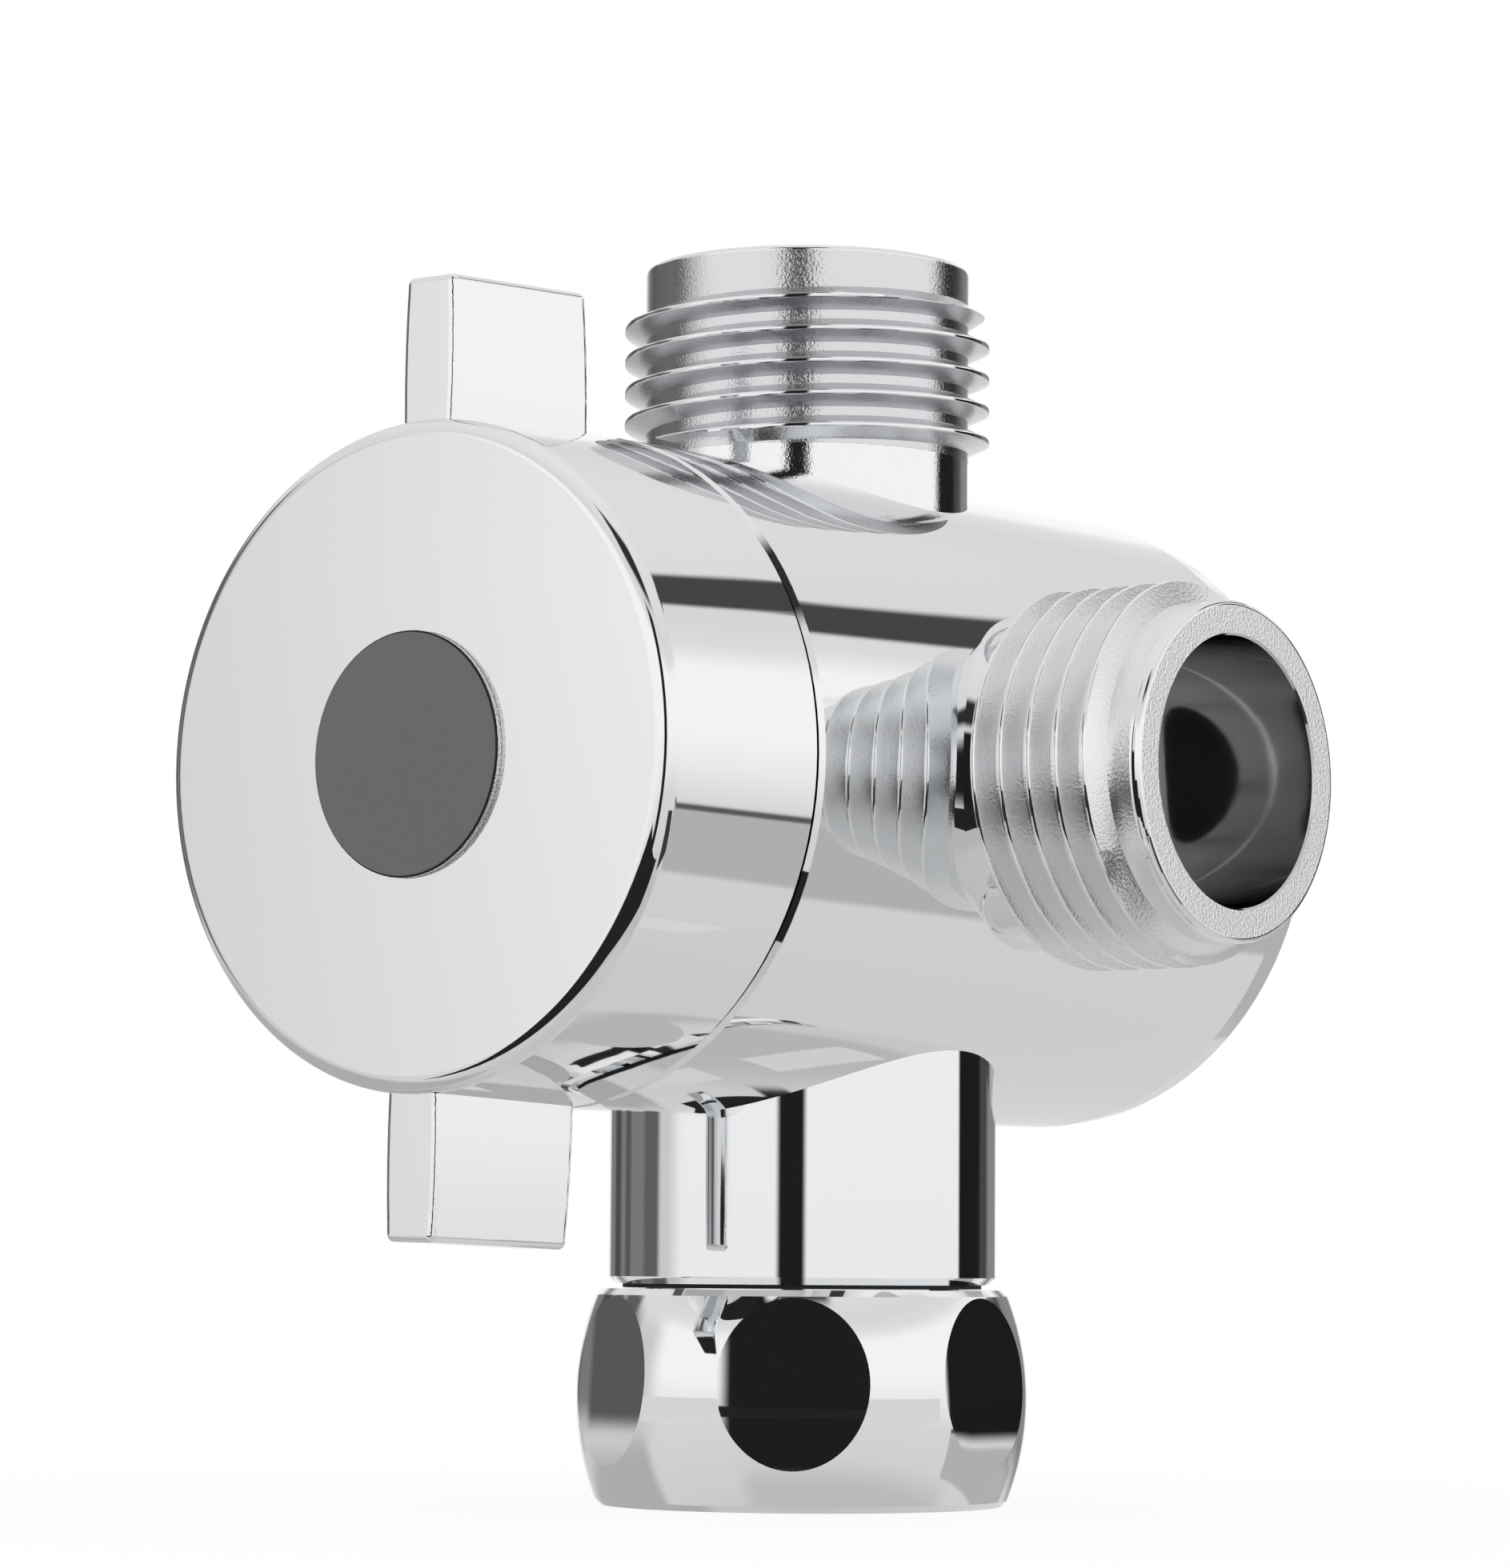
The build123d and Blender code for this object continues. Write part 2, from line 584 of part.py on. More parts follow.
def thrust_washer():
    return ring_y(STEM_R + RUN, THRUST_R, SPIGOT_Y, DISC_FRONT_Y - END_PLAY)


def stem_circlip():
    """Open clip in the stem's groove, with two pierced ears."""
    inner = CLIP_GROOVE_R + FIT
    outer = inner + CLIP_WIDTH
    ring = ring_y(inner, outer, CLIP_FRONT_Y, CLIP_BACK_Y)
    ear_x = CLIP_GAP / 2 + CLIP_EAR_R - CLIP_EAR_LAP
    for side in (-1, 1):
        place = JUNCTION * Pos(side * ear_x, CLIP_BACK_Y, outer)
        ring += place * extrude(Plane.XZ * Circle(CLIP_EAR_R), amount=CLIP_THICKNESS)
        ring -= place * extrude(Plane.XZ * Circle(CLIP_EAR_HOLE_R), amount=CLIP_THICKNESS)
    middle_y = (CLIP_BACK_Y + CLIP_FRONT_Y) / 2
    gap = Box(CLIP_GAP, 2 * CLIP_THICKNESS, 2 * outer)
    ring -= JUNCTION * Pos(0, middle_y, outer) * gap
    return ring - rod_y(inner, CLIP_FRONT_Y, CLIP_BACK_Y)


def wing_side(side, middle, bow_r):
    """Large cylinder whose wall is one side of a wing, drafted so that the wing narrows to the front."""
    length = HANDLE_REAR_Y - HANDLE_FACE_Y
    draft = degrees(atan((WING_HALF_REAR - WING_HALF_FRONT) / length))
    centre_x = WING_HALF_REAR - bow_r / cos(radians(draft))
    place = Pos(side * centre_x, HANDLE_REAR_Y, middle)
    return place * Rot(0, 0, -side * draft) * Rot(90, 0, 0) * Cylinder(bow_r, 4 * length)


def handle_wing():
    """One wing above the cap: sides bowed in height and drafted, rear edge with draft."""
    root = BODY_R - 2 * HANDLE_SKIRT + REACH
    tip_front = BODY_R + WING_REACH
    tip_rear = tip_front + WING_TIP_RISE
    half_height = (tip_rear - root) / 2
    bow_r = (half_height ** 2 + WING_BOW ** 2) / (2 * WING_BOW)
    middle = root + half_height
    front_y = HANDLE_FACE_Y + WING_SET_BACK
    root_y = HANDLE_REAR_Y - WING_ROOT_STEP
    tip_y = HANDLE_REAR_Y - WING_TIP_STEP
    draft = (tip_y - root_y) / (tip_rear - BODY_R)
    outline = make_face(Polyline(
        (0, front_y, root),
        (0, front_y, tip_front),
        (0, tip_y, tip_rear),
        (0, root_y + draft * (root - BODY_R), root),
        close=True,
    ))
    slab = extrude(outline, amount=2 * WING_HALF_REAR, dir=(1, 0, 0), both=True)
    wing = slab & wing_side(1, middle, bow_r) & wing_side(-1, middle, bow_r)
    outer = wing.edges().filter_by(lambda e: e.center().Z > root + REACH)
    return fillet(outer, WING_EDGE)


def handle():
    """Cap handle: face, skirt, hub and two wings in one casting."""
    inner_r = BODY_R - HANDLE_SKIRT
    inner_y = HANDLE_FACE_Y + HANDLE_FACE
    cap = turned_y([
        (0, HANDLE_FACE_Y),
        (BODY_R - HANDLE_DRAFT, HANDLE_FACE_Y),
        (BODY_R, HANDLE_REAR_Y - BODY_BEVEL),
        (BODY_R - BODY_BEVEL, HANDLE_REAR_Y),
        (0, HANDLE_REAR_Y),
    ])
    rim = cap.edges().group_by(Axis.Y)[0]
    cap = fillet(rim, HANDLE_ROUND)
    wing = handle_wing()
    for turn in (WING_LEAN, WING_LEAN + 180):
        cap += JUNCTION * Rot(0, turn, 0) * wing
    cap -= rod_y(inner_r, inner_y, HANDLE_REAR_Y)
    cap += rod_y(HUB_R, inner_y, HUB_BACK_Y)
    cap -= spline_prism(FIT, STEM_END_Y, HUB_BACK_Y)
    cap -= rod_y(SCREW_R + PASS, SCREW_SEAT_Y, STEM_END_Y)
    cap -= rod_y(SOCKET_R, HANDLE_FACE_Y, SCREW_SEAT_Y)
    cap -= rod_y(BUTTON_R + FIT, HANDLE_FACE_Y, BUTTON_BACK_Y)
    return cap


def index_button():
    """Plain plastic button pressed into the handle's face."""
    outer = SOCKET_R - FIT
    disc = turned_y([
        (0, BUTTON_FRONT_Y),
        (BUTTON_R - BUTTON_ROUND, BUTTON_FRONT_Y),
        (BUTTON_R, BUTTON_FRONT_Y + BUTTON_ROUND),
        (BUTTON_R, BUTTON_BACK_Y),
        (0, BUTTON_BACK_Y),
    ])
    skirt_end = BUTTON_BACK_Y + BUTTON_SKIRT_LENGTH
    return disc + ring_y(outer - BUTTON_SKIRT, outer, BUTTON_BACK_Y, skirt_end)


def handle_screw():
    """Pan-head screw with a cross recess."""
    screw = rod_y(SCREW_HEAD_R, SCREW_HEAD_FRONT_Y, SCREW_HEAD_BACK_Y)
    screw = fillet(screw.edges().group_by(Axis.Y)[0], SCREW_HEAD / 2)
    screw += turned_y([
        (0, SCREW_HEAD_BACK_Y),
        (SCREW_R, SCREW_HEAD_BACK_Y),
        (SCREW_R, SCREW_TIP_Y - SCREW_R / 4),
        (SCREW_R * 3 / 4, SCREW_TIP_Y),
        (0, SCREW_TIP_Y),
    ])
    for long_x, long_z in ((4 * SCREW_RECESS, SCREW_RECESS), (SCREW_RECESS, 4 * SCREW_RECESS)):
        slot = Box(long_x, 2 * SCREW_RECESS_DEPTH, long_z)
        screw -= JUNCTION * Pos(0, SCREW_HEAD_FRONT_Y, 0) * slot
    return screw


def lock_washer():
    """Split spring washer under the screw's head."""
    outer = SCREW_HEAD_R - LOCK_WASHER_STEP
    ring = ring_y(SCREW_R + PASS, outer, SCREW_HEAD_BACK_Y, SCREW_SEAT_Y)
    middle_y = (SCREW_HEAD_BACK_Y + SCREW_SEAT_Y) / 2
    split = Box(LOCK_WASHER_SPLIT, 2 * LOCK_WASHER, 2 * outer)
    return ring - JUNCTION * Pos(0, middle_y, outer) * split


PIECES = {
    "valve_body": valve_body(),
    "swivel_nut": swivel_nut(),
    "nut_ring": nut_ring(),
    "glide_ring": glide_ring(),
    "inlet_washer": inlet_washer(),
    "rear_bush": rear_bush(),
    "rotor": rotor(),
    "seal_plunger": seal_plunger(),
    "seal_pad": seal_pad(),
    "seal_spring": seal_spring(),
    "stem_o_ring_front": stem_o_ring(O_RING_FRONT_Y),
    "stem_o_ring_rear": stem_o_ring(O_RING_REAR_Y),
    "bonnet_nut": bonnet_nut(),
    "bonnet_o_ring": bonnet_o_ring(),
    "stop_pin": stop_pin(),
    "thrust_washer": thrust_washer(),
    "stem_circlip": stem_circlip(),
    "handle": handle(),
    "handle_screw": handle_screw(),
    "lock_washer": lock_washer(),
    "index_button": index_button(),
}

os.makedirs("parts", exist_ok=True)
for name, solid in PIECES.items():
    export_step(solid, f"parts/{name}.step")
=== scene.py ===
"""Looks of a chromed shower diverter valve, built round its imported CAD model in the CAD's own frame.

The valve is cast and turned brass under bright chrome. The outlets' threads, their turned rims and
the finishes are made here. The handle faces -Y, the side outlet +X and the top outlet +Z.
"""
import json
import math

import bmesh
import bpy
import numpy as np
from bpy.props import FloatProperty, FloatVectorProperty, IntProperty, PointerProperty
from mathutils import Matrix, Vector


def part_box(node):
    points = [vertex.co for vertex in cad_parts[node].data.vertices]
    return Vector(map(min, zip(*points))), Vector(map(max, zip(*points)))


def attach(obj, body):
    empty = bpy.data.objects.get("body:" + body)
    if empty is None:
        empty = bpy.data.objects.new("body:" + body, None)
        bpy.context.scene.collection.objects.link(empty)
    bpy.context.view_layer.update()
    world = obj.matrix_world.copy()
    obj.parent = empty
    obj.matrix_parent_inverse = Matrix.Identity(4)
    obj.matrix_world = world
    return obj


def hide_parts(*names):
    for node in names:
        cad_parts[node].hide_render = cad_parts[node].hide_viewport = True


bl_info = {
    "name": "Shower diverter valve",
    "version": (1, 0, 0),
    "blender": (4, 5, 0),
    "location": "3D View > Sidebar > Diverter",
    "description": "Chromed three-way shower diverter with its threads, finishes and studio",
    "category": "Add Mesh",
}

MM = 0.001
TOUCH = 0.02 * MM             # how near a corner lies to the true surface it was cut from
FLAT = 0.002 * MM             # how far a corner of a plane or a turned face may lie off it
X_AXIS, Y_AXIS, Z_AXIS = Vector((1, 0, 0)), Vector((0, 1, 0)), Vector((0, 0, 1))

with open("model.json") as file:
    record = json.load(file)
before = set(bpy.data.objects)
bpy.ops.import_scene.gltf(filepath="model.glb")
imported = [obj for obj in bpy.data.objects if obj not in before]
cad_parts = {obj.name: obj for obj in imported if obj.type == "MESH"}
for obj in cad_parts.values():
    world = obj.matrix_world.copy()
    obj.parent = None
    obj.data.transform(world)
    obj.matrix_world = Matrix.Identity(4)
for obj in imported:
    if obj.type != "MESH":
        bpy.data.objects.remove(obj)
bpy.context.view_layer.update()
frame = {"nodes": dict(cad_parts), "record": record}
MOUNTS = {mount["name"]: mount for mount in frame["record"]["mounts"]}
JUNCTION = Vector((0, 0, MOUNTS["side_outlet"]["pos_m"][2]))
TOP_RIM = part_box("valve_body")[1].z - JUNCTION.z
SIDE_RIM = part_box("valve_body")[1].x

CREST_TOP = 0.28              # half-width of a crest's flat top, as a share of the crest
CREST_DROP = 0.12             # how far a crest's shoulder lies below that top, in the same measure
# A thread's turns, where it starts round its outlet in degrees, and the turns in which its ridge
# rises and runs out
TOP_RUN = (4.6, -15.6, 0.02, 0.35)
SIDE_RUN = (4.9, 200, 0.3, 0.3)

FLAT_RINGS = 9                # rings of faces over which a nut flat's polish falls away
FLAT_REACH = 0.7              # share of the flat's half-width that those rings take up
FLAT_LEVEL = 0.4              # share of the half-width that stays level sideways
FLAT_AWAY = 0.1               # sideways lean of the polish at the flat's side
FLAT_DOWN = 0.26              # downward lean of the polish at the flat's foot


def mm(name, description, default, low=0.0):
    """Length property whose default is given in millimetres."""
    return FloatProperty(name=name, description=description, default=default * MM, min=low * MM,
                         precision=5, unit="LENGTH", subtype="DISTANCE")


def linear(code):
    """Linear colour of an sRGB hex code."""
    channels = [int(code[i:i + 2], 16) / 255 for i in (1, 3, 5)]
    return tuple(c / 12.92 if c <= 0.04045 else ((c + 0.055) / 1.055) ** 2.4 for c in channels)


def colour(name, description, code):
    """Colour property whose default is an sRGB hex code."""
    return FloatVectorProperty(name=name, description=description, default=linear(code),
                               subtype="COLOR", size=3, min=0, max=1)


class OutletSizes(bpy.types.PropertyGroup):
    """Half-inch pipe thread and turned rim of the two outlets."""
    pitch: mm("Pitch", "Rise of the thread in one turn", 1.814)
    crest: mm("Crest", "Width of the thread's crest", 0.26)
    root: mm("Root", "Width of the plain root between two ridges", 0.5)
    sunk: mm("Sunk", "How deep a ridge's foot lies inside the root tube", 0.1)
    collar: mm("Collar", "Radius of the plain collar and of the thread's root", 9.2455)
    bore: mm("Bore", "Radius of the outlet's bore", 7.3455)
    floor: mm("Floor", "Distance of the bore's floor from the junction", 14.3)
    side_floor: mm("Side floor", "Distance of the side bore's floor, as it is seen", 17.4)
    port: mm("Port", "Radius of the waterway in the bore's floor", 3.7)
    top_start: mm("Top start", "Height of the top thread's first crest above the junction", 19.675)
    side_start: mm("Side start", "Distance of the side thread's first crest", 18.95)
    groove: mm("Groove", "Depth of the turned line behind the side rim", 0.1)
    groove_place: mm("Groove place", "Distance of that line from the rim", 0.52)
    rim_round: mm("Rim round", "Rounding of a rim's outer edge", 0.28)
    mouth_break: mm("Mouth break", "Small bevel at the bore's mouth", 0.12)
    segments: IntProperty(name="Segments", description="Steps in one turn", default=144, min=24)


class Finishes(bpy.types.PropertyGroup):
    """Colours of the plated, moulded and turned surfaces."""
    chrome: colour("Chrome", "Bright chrome plate", "#F4F5F6")
    dull: colour("Dull chrome", "Chrome over a cut surface", "#DFE0E2")
    nickel: colour("Nickel", "Thin grey plate inside the bores", "#CFCFCF")
    index_grey: colour("Index grey", "Moulded grey of the index button", "#666666")
    index_rim: colour("Index rim", "The button's edge, in the cap's shade", "#1F1F1F")
    brass: colour("Brass", "Bare turned brass", "#E2C27E")
    acetal: colour("Acetal", "Natural white acetal", "#E9E9E2")
    nitrile: colour("Nitrile", "Black nitrile rubber", "#262626")
    steel: colour("Steel", "Stainless steel", "#C9CACC")


class Studio(bpy.types.PropertyGroup):
    """Camera, light and floor."""
    camera_place: FloatVectorProperty(
        name="Camera place", description="Where the camera stands", size=3, subtype="TRANSLATION",
        unit="LENGTH", default=(195.119 * MM, -244.317 * MM, 13.782 * MM))
    yaw: FloatProperty(name="Yaw", description="Camera's turn from +Y towards -X",
                       default=math.radians(39.132), unit="ROTATION", subtype="ANGLE")
    pitch: FloatProperty(name="Pitch", description="Camera's tilt above the horizon",
                         default=math.radians(4.935), unit="ROTATION", subtype="ANGLE")
    roll: FloatProperty(name="Roll", description="Camera's lean to the right",
                        default=math.radians(0.366), unit="ROTATION", subtype="ANGLE")
    lens: FloatProperty(name="Lens", description="Focal length on a 36 mm long side", default=126.29,
                        min=1, unit="CAMERA")
    light: FloatProperty(name="Light", description="Strength of the plain white light", default=1.0,
                         min=0)
    floor_r: mm("Floor radius", "Radius of the floor's disc", 220)
    wall_r: mm("Wall radius", "Radius of the grey paper strip in front of the nut", 34)
    wall_low: mm("Wall foot", "Height of that strip's lower edge", 1.5)
    wall_top: mm("Wall top", "Height of its upper edge", 6.1)
    shade: FloatProperty(name="Shade", description="Share of the floor's own shading that shows",
                         default=0.12, min=0, max=1)


GROUPS = {"diverter_outlets": OutletSizes, "diverter_finishes": Finishes, "diverter_studio": Studio}


def setting(group):
    return getattr(bpy.context.scene, group)


def node(tree, kind, inputs=None, **settings):
    """Add a shader node: settings are its properties, inputs are values or sockets to link."""
    made = tree.nodes.new(kind)
    for name, value in settings.items():
        setattr(made, name, value)
    for key, value in (inputs or {}).items():
        if isinstance(value, bpy.types.NodeSocket):
            tree.links.new(value, made.inputs[key])
        else:
            made.inputs[key].default_value = value
    return made


def new_material(name):
    """Empty node material with its output, as (material, tree, surface socket)."""
    made = bpy.data.materials.new(name)
    made.use_nodes = True
    made.node_tree.nodes.clear()
    output = node(made.node_tree, "ShaderNodeOutputMaterial")
    return made, made.node_tree, output.inputs["Surface"]


def rgba(value):
    return (*value, 1.0)


def grain(tree, grain_mm, depth_mm, detail=2.0):
    """Bump of a random grain, on Object coordinates.

    Real cutter's marks are finer: a grain under about 0.1 mm wouldn't show in the render, so they
    are drawn that coarse.
    """
    place = node(tree, "ShaderNodeTexCoord")
    noise = node(tree, "ShaderNodeTexNoise", {
        "Vector": place.outputs["Object"], "Scale": 1 / (grain_mm * MM), "Detail": detail})
    bump = node(tree, "ShaderNodeBump", {
        "Height": noise.outputs["Fac"], "Strength": 1.0, "Distance": depth_mm * MM})
    return bump.outputs["Normal"]


def bright_chrome():
    """Bright chrome over nickel on polished brass: a clear, slightly cool mirror."""
    made, tree, surface = new_material("bright_chrome")
    shader = node(tree, "ShaderNodeBsdfPrincipled", {
        "Base Color": rgba(setting("diverter_finishes").chrome), "Metallic": 1.0, "Roughness": 0.03})
    tree.links.new(shader.outputs[0], surface)
    return made


def satin_chrome():
    """Chrome over turned, unpolished brass: fine grain that spreads the reflections."""
    made, tree, surface = new_material("satin_chrome")
    shader = node(tree, "ShaderNodeBsdfPrincipled", {
        "Base Color": rgba(setting("diverter_finishes").chrome), "Metallic": 1.0, "Roughness": 0.24,
        "Normal": grain(tree, 0.15, 0.024)})
    tree.links.new(shader.outputs[0], surface)
    return made


def turned_chrome():
    """Chrome over a turned collar: bright, and speckled by the cutter's marks."""
    made, tree, surface = new_material("turned_chrome")
    shader = node(tree, "ShaderNodeBsdfPrincipled", {
        "Base Color": rgba(setting("diverter_finishes").chrome), "Metallic": 1.0, "Roughness": 0.06,
        "Normal": grain(tree, 0.13, 0.007)})
    tree.links.new(shader.outputs[0], surface)
    return made


def cut_chrome():
    """Chrome over a cut thread: greyer and duller, with the same speckle."""
    made, tree, surface = new_material("cut_chrome")
    shader = node(tree, "ShaderNodeBsdfPrincipled", {
        "Base Color": rgba(setting("diverter_finishes").dull), "Metallic": 1.0, "Roughness": 0.16,
        "Normal": grain(tree, 0.15, 0.02)})
    tree.links.new(shader.outputs[0], surface)
    return made


def faced_chrome():
    """Chrome over a rim faced in the lathe: pale and nearly matt, with a fine sparkle."""
    made, tree, surface = new_material("faced_chrome")
    shader = node(tree, "ShaderNodeBsdfPrincipled", {
        "Base Color": rgba(setting("diverter_finishes").chrome), "Metallic": 0.6, "Roughness": 0.26,
        "Normal": grain(tree, 0.17, 0.08)})
    tree.links.new(shader.outputs[0], surface)
    return made


def bored_nickel():
    """Bore wall where hardly any chrome reaches: grey nickel, still a mirror along the bore."""
    made, tree, surface = new_material("bored_nickel")
    shader = node(tree, "ShaderNodeBsdfPrincipled", {
        "Base Color": rgba(setting("diverter_finishes").nickel), "Metallic": 1.0, "Roughness": 0.08,
        "Normal": grain(tree, 0.9, 0.002)})
    tree.links.new(shader.outputs[0], surface)
    return made


def drilled_nickel():
    """Floor of a bore as the drill left it, under thin nickel: grey and dull."""
    made, tree, surface = new_material("drilled_nickel")
    shader = node(tree, "ShaderNodeBsdfPrincipled", {
        "Base Color": rgba(setting("diverter_finishes").nickel), "Metallic": 1.0, "Roughness": 0.42,
        "Normal": grain(tree, 0.3, 0.01)})
    tree.links.new(shader.outputs[0], surface)
    return made


def index_plastic():
    """Moulded grey plastic of the button: even and matt."""
    made, tree, surface = new_material("index_plastic")
    shader = node(tree, "ShaderNodeBsdfPrincipled", {
        "Base Color": rgba(setting("diverter_finishes").index_grey), "Roughness": 0.6,
        "Specular IOR Level": 0.2})
    tree.links.new(shader.outputs[0], surface)
    return made


def index_edge():
    """Edge of the moulded button, in the cap's shade: nearly black."""
    made, tree, surface = new_material("index_edge")
    shader = node(tree, "ShaderNodeBsdfPrincipled", {
        "Base Color": rgba(setting("diverter_finishes").index_rim), "Roughness": 0.6,
        "Specular IOR Level": 0.2})
    tree.links.new(shader.outputs[0], surface)
    return made


def turned_brass():
    """Bare turned brass: warm metal with fine tool marks."""
    made, tree, surface = new_material("turned_brass")
    shader = node(tree, "ShaderNodeBsdfPrincipled", {
        "Base Color": rgba(setting("diverter_finishes").brass), "Metallic": 1.0, "Roughness": 0.32,
        "Normal": grain(tree, 0.12, 0.004)})
    tree.links.new(shader.outputs[0], surface)
    return made


def moulded_acetal():
    """Natural acetal of the bearings: off-white and slightly glossy."""
    made, tree, surface = new_material("moulded_acetal")
    shader = node(tree, "ShaderNodeBsdfPrincipled", {
        "Base Color": rgba(setting("diverter_finishes").acetal), "Roughness": 0.45, "IOR": 1.48})
    tree.links.new(shader.outputs[0], surface)
    return made


def nitrile_rubber():
    """Black nitrile of the seals: dull."""
    made, tree, surface = new_material("nitrile_rubber")
    shader = node(tree, "ShaderNodeBsdfPrincipled", {
        "Base Color": rgba(setting("diverter_finishes").nitrile), "Roughness": 0.7, "IOR": 1.52})
    tree.links.new(shader.outputs[0], surface)
    return made


def stainless_steel():
    """Stainless steel of the spring, clip, screw and rings: pale, softly bright."""
    made, tree, surface = new_material("stainless_steel")
    shader = node(tree, "ShaderNodeBsdfPrincipled", {
        "Base Color": rgba(setting("diverter_finishes").steel), "Metallic": 1.0, "Roughness": 0.28,
        "Normal": grain(tree, 0.1, 0.003)})
    tree.links.new(shader.outputs[0], surface)
    return made


AXES = (X_AXIS, Y_AXIS, Z_AXIS)
BRIGHT, SATIN, TURNED, CUT, FACED, BORED, DRILLED = range(7)      # the tee body's materials


def line_or_arc(h, r):
    """Unit normals in the (h, r) half-plane of a straight or round profile, or None."""
    spread = np.c_[h - h.mean(), r - r.mean()]
    _, _, turn = np.linalg.svd(spread, full_matrices=False)
    if np.abs(spread @ turn[1]).max() < FLAT:
        return np.tile(turn[1], (len(h), 1))
    table = np.c_[2 * h, 2 * r, np.ones(len(h))]
    fit, _, rank, _ = np.linalg.lstsq(table, h * h + r * r, rcond=None)
    centre = fit[:2]
    out = np.c_[h, r] - centre
    size = np.hypot(*out.T)
    if rank == 3 and np.abs(size - size.mean()).max() < FLAT:
        return out / size[:, None]
    return None


def surface_normals(points):
    """Normals of the plane or turned surface that the points lie on, or None."""
    spread = points - points.mean(0)
    _, _, turn = np.linalg.svd(spread, full_matrices=False)
    if np.abs(spread @ turn[2]).max() < FLAT:
        return np.tile(turn[2], (len(points), 1))
    for axis in AXES:
        axis = np.array(axis)
        h = points @ axis
        outward = points - h[:, None] * axis
        r = np.linalg.norm(outward, axis=1)
        if r.min() < FLAT:
            continue
        found = line_or_arc(h, r)
        if found is not None:
            return found[:, :1] * axis + found[:, 1:] * outward / r[:, None]
    if np.ptp(points[:, 1]) > FLAT:
        found = line_or_arc(points[:, 0], points[:, 2])
        if found is not None:
            return np.c_[found[:, 0], np.zeros(len(points)), found[:, 1]]
    return None


def islands(bm):
    """Faces of a mesh in groups that share corners: one group for each surface of the CAD solid."""
    bm.faces.ensure_lookup_table()
    seen = set()
    for start in bm.faces:
        if start in seen:
            continue
        group, queue = [], [start]
        seen.add(start)
        while queue:
            face = queue.pop()
            group.append(face)
            for corner in face.verts:
                for other in corner.link_faces:
                    if other not in seen:
                        seen.add(other)
                        queue.append(other)
        yield group


def cad_copy(name):
    """Copy of a CAD node as a bmesh with its doubles merged, and its true normals kept in a layer."""
    bm = bmesh.new()
    bm.from_mesh(frame["nodes"][name].data)
    layer = bm.loops.layers.float_vector.new("true_normal")
    surface = bm.faces.layers.int.new("surface")
    for number, group in enumerate(islands(bm)):
        corners = sorted({v for face in group for v in face.verts}, key=lambda v: v.index)
        row = {v: i for i, v in enumerate(corners)}
        normals = surface_normals(np.array([v.co - JUNCTION for v in corners], float))
        for face in group:
            face[surface] = number
            face.smooth = True
            for loop in face.loops:
                if normals is None:
                    loop[layer] = loop.vert.normal if loop.vert.normal.length else face.normal
                    continue
                normal = Vector(normals[row[loop.vert]])
                loop[layer] = normal if normal.dot(face.normal) > 0 else -normal
    bmesh.ops.remove_doubles(bm, verts=bm.verts, dist=0.001 * MM)
    return bm


def delete_faces(bm, unwanted):
    """Delete the faces whose every corner passes the test, with their loose edges."""
    faces = [f for f in bm.faces if all(unwanted(v.co - JUNCTION) for v in f.verts)]
    bmesh.ops.delete(bm, geom=faces, context="FACES")


def finished_piece(bm, name, body, materials, stands_for=()):
    """Mesh object from a bmesh: true normals set, materials given, riding on its body."""
    mesh = bpy.data.meshes.new(name)
    bm.to_mesh(mesh)
    bm.free()
    made = bpy.data.objects.new(name, mesh)
    bpy.context.scene.collection.objects.link(made)
    for material in materials:
        mesh.materials.append(material)
    layer = mesh.attributes.get("true_normal")
    if layer:
        normals = np.zeros(len(mesh.loops) * 3, np.float32)
        layer.data.foreach_get("vector", normals)
        mesh.attributes.remove(layer)
        mesh.normals_split_custom_set(normals.reshape(-1, 3).tolist())
    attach(made, body)
    if stands_for:
        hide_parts(*stands_for)
    return made


def place(axis, along, radius, turn=0.0):
    """Point at a distance along the side or top outlet's axis from the junction, and off it."""
    if axis is X_AXIS:
        return JUNCTION + Vector((along, -radius * math.cos(turn), -radius * math.sin(turn)))
    return JUNCTION + Vector((radius * math.sin(turn), -radius * math.cos(turn), along))


def loop_at(bm, axis, along, radius):
    """Open edges that lie on the circle at that distance along the axis."""
    found = []
    for edge in bm.edges:
        if not edge.is_boundary:
            continue
        offsets = [v.co - JUNCTION for v in edge.verts]
        if all(abs(o.dot(axis) - along) < TOUCH and abs((o - axis * o.dot(axis)).length - radius) < TOUCH
               for o in offsets):
            found.append(edge)
    if not found:
        raise RuntimeError(f"no open edge at {along / MM:.3f} mm, radius {radius / MM:.3f} mm")
    return found


def arc_points(centre, radius, start, end, steps):
    """Points (along, radius) of a round stretch, angles in degrees from the axis's direction."""
    points = []
    for k in range(steps + 1):
        angle = math.radians(start + (end - start) * k / steps)
        points.append((centre[0] + radius * math.cos(angle), centre[1] + radius * math.sin(angle)))
    return points


def spin_outline(bm, axis, points, segments):
    """Turn an open outline of (along, radius) points round an axis."""
    verts = [bm.verts.new(place(axis, along, radius)) for along, radius in points]
    edges = [bm.edges.new(pair) for pair in zip(verts, verts[1:])]
    bmesh.ops.spin(bm, geom=verts + edges, cent=JUNCTION, axis=axis, dvec=(0, 0, 0),
                   angle=2 * math.pi, steps=segments, use_merge=True, use_duplicate=False)


